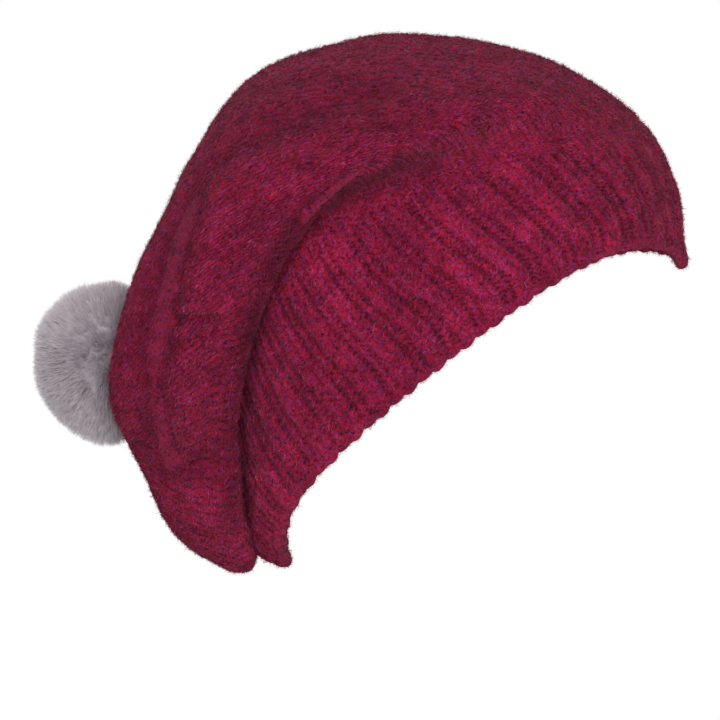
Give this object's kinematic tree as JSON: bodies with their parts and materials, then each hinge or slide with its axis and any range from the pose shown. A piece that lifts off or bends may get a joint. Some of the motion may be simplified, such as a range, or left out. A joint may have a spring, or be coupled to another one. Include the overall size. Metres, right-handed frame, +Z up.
{
  "type": "beret",
  "caption": "Slouchy knitted beret with a ribbed band, its bag flopped over the back of the band, and a fur pom-pom on a press stud.",
  "frame": {"origin": "middle of the head opening, halfway between the forehead and the nape on the rim", "axes": "+Z up as worn, +X towards the forehead, +Y across the head; the head opening faces down and forward"},
  "size_m": [0.2583, 0.2098, 0.2127],
  "materials": {
    "band_wool": "brushed, matt",
    "edge_wool": "brushed, matt",
    "bag_wool": "brushed, matt",
    "crown_wool": "brushed, matt",
    "gather_yarn": "matt yarn",
    "felt": "matt felt",
    "sewing_thread": "dull thread",
    "fur": "soft, silky",
    "pelt": "suede-like",
    "fibre_fill": "fluffy",
    "stud_plastic": "smooth moulded",
    "satin": "satin weave"
  },
  "bodies": {
    "hat": {"cast_on_edge": "edge_wool", "ribbed_band": "band_wool", "slouch_bag": "bag_wool", "crown": "crown_wool", "gather_yarn": "gather_yarn", "inner_patch": "felt", "socket_thread": "sewing_thread", "snap_socket": "stud_plastic", "label_stitching": "sewing_thread"},
    "stud": {"snap_stud": "stud_plastic"},
    "shank": {"pom_shank_thread": "sewing_thread"},
    "pom_pom": {"pom_stuffing": "fibre_fill", "pom_pelt": "pelt", "pom_drawstring": "sewing_thread", "pom_fur": "fur"},
    "label": {"care_label": "satin"}
  },
  "joints": [
    {"name": "pom_pull_off", "type": "slide", "parent": "hat", "child": "stud", "axis": [-1, 0, 0], "range_m": [0, 0.03]},
    {"name": "pom_turn", "type": "hinge", "parent": "stud", "child": "shank", "pos_m": [-0.1305, 0, 0.0205], "axis": [-1, 0, 0], "range_deg": [-180, 180]},
    {"name": "pom_nod", "type": "hinge", "parent": "shank", "child": "pom_pom", "pos_m": [-0.1305, 0, 0.0205], "axis": [0, 1, 0], "range_deg": [-10, 10]},
    {"name": "label_flap", "type": "hinge", "parent": "hat", "child": "label", "pos_m": [-0.0932, 0, -0.0205], "axis": [0, -1, 0], "range_deg": [0, 75]}
  ]
}
